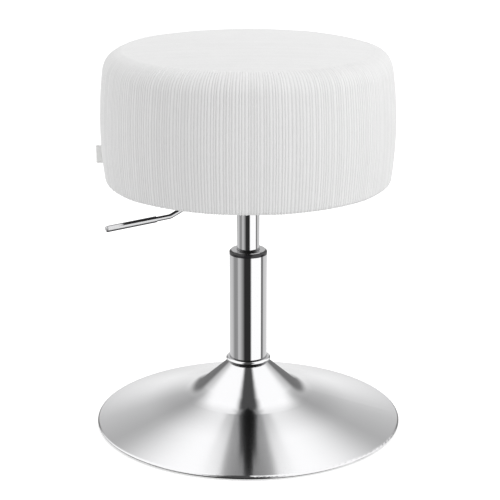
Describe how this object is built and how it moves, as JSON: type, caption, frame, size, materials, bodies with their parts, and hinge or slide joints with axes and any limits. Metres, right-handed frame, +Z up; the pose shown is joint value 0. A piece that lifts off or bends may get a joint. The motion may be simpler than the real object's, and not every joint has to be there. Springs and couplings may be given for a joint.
{
  "type": "vanity stool",
  "caption": "Round swivel vanity stool: ribbed drum seat on a gas lift with a release lever, chrome column and trumpet base.",
  "frame": {"origin": "on the floor, under the centre of the base", "axes": "+Z up along the column, -Y towards the picture's camera, +X to its right"},
  "size_m": [0.385, 0.385, 0.4845],
  "materials": {
    "satin_chrome": "satin chrome plate on pressed steel",
    "polished_chrome": "polished chrome plate",
    "collar_plastic": "black moulded plastic",
    "floor_rubber": "black rubber",
    "black_steel": "black powder coat",
    "weight_iron": "raw casting",
    "zinc_steel": "bright zinc plate",
    "bush_nylon": "natural nylon",
    "board_plywood": "raw birch plywood",
    "seat_foam": "open-cell seat foam",
    "seat_corduroy": "white ribbed corduroy",
    "dust_cloth": "black non-woven dust cloth",
    "tag_tape": "folded woven tape, bare"
  },
  "bodies": {
    "base": {"floor_ring": "floor_rubber", "base_shell": "satin_chrome", "base_plate": "black_steel", "base_hub": "black_steel", "base_weight": "weight_iron", "weight_screws": "zinc_steel", "column_tube": "polished_chrome", "tube_end_plate": "zinc_steel", "column_bush": "bush_nylon", "column_collar": "collar_plastic", "collar_cap": "polished_chrome", "trim_ring": "polished_chrome", "bearing_lower_race": "zinc_steel"},
    "rod": {"piston_rod": "zinc_steel", "bearing_balls": "zinc_steel", "bearing_cage": "bush_nylon", "bearing_upper_race": "zinc_steel", "rod_clip": "zinc_steel", "rod_washer": "zinc_steel", "bump_stop": "floor_rubber", "piston": "bush_nylon", "piston_seal": "floor_rubber", "piston_nut": "zinc_steel"},
    "seat": {"lift_cylinder": "polished_chrome", "rod_guide": "bush_nylon", "rod_seal": "floor_rubber", "inner_tube": "zinc_steel", "valve_body": "bush_nylon", "valve_seal": "floor_rubber", "plate_hub": "black_steel", "lift_channel": "black_steel", "seat_plate": "black_steel", "seat_bolts": "zinc_steel", "bolt_washers": "zinc_steel", "tee_nuts": "zinc_steel", "lever_pivot_pin": "zinc_steel", "pivot_clip": "zinc_steel", "seat_board": "board_plywood", "seat_foam": "seat_foam", "cover_band": "seat_corduroy", "cover_top": "seat_corduroy", "dust_cover": "dust_cloth", "cover_staples": "zinc_steel", "side_tag": "tag_tape"},
    "lever": {"lever_rod": "polished_chrome", "lever_sleeve": "polished_chrome", "lever_pivot_tube": "zinc_steel"},
    "release_pin": {"release_pin": "zinc_steel"}
  },
  "joints": [
    {"name": "swivel", "type": "hinge", "parent": "base", "child": "rod", "pos_m": [0, 0, 0.02155], "axis": [0, 0, 1], "continuous": true},
    {"name": "lift", "type": "slide", "parent": "rod", "child": "seat", "axis": [0, 0, 1], "range_m": [-0.044, 0.066]},
    {"name": "lever_tilt", "type": "hinge", "parent": "seat", "child": "lever", "pos_m": [-0.03031, -0.0175, 0.30272], "axis": [-0.5, 0.866, 0], "range_deg": [0, 6], "stiffness_Nm_per_rad": 6},
    {"name": "release_pin_press", "type": "slide", "parent": "seat", "child": "release_pin", "axis": [0, 0, -1], "range_m": [0, 0.004]}
  ],
  "couplings": [
    {"joint": "release_pin_press", "follows": "lever_tilt", "m_per_rad": 0.036}
  ]
}
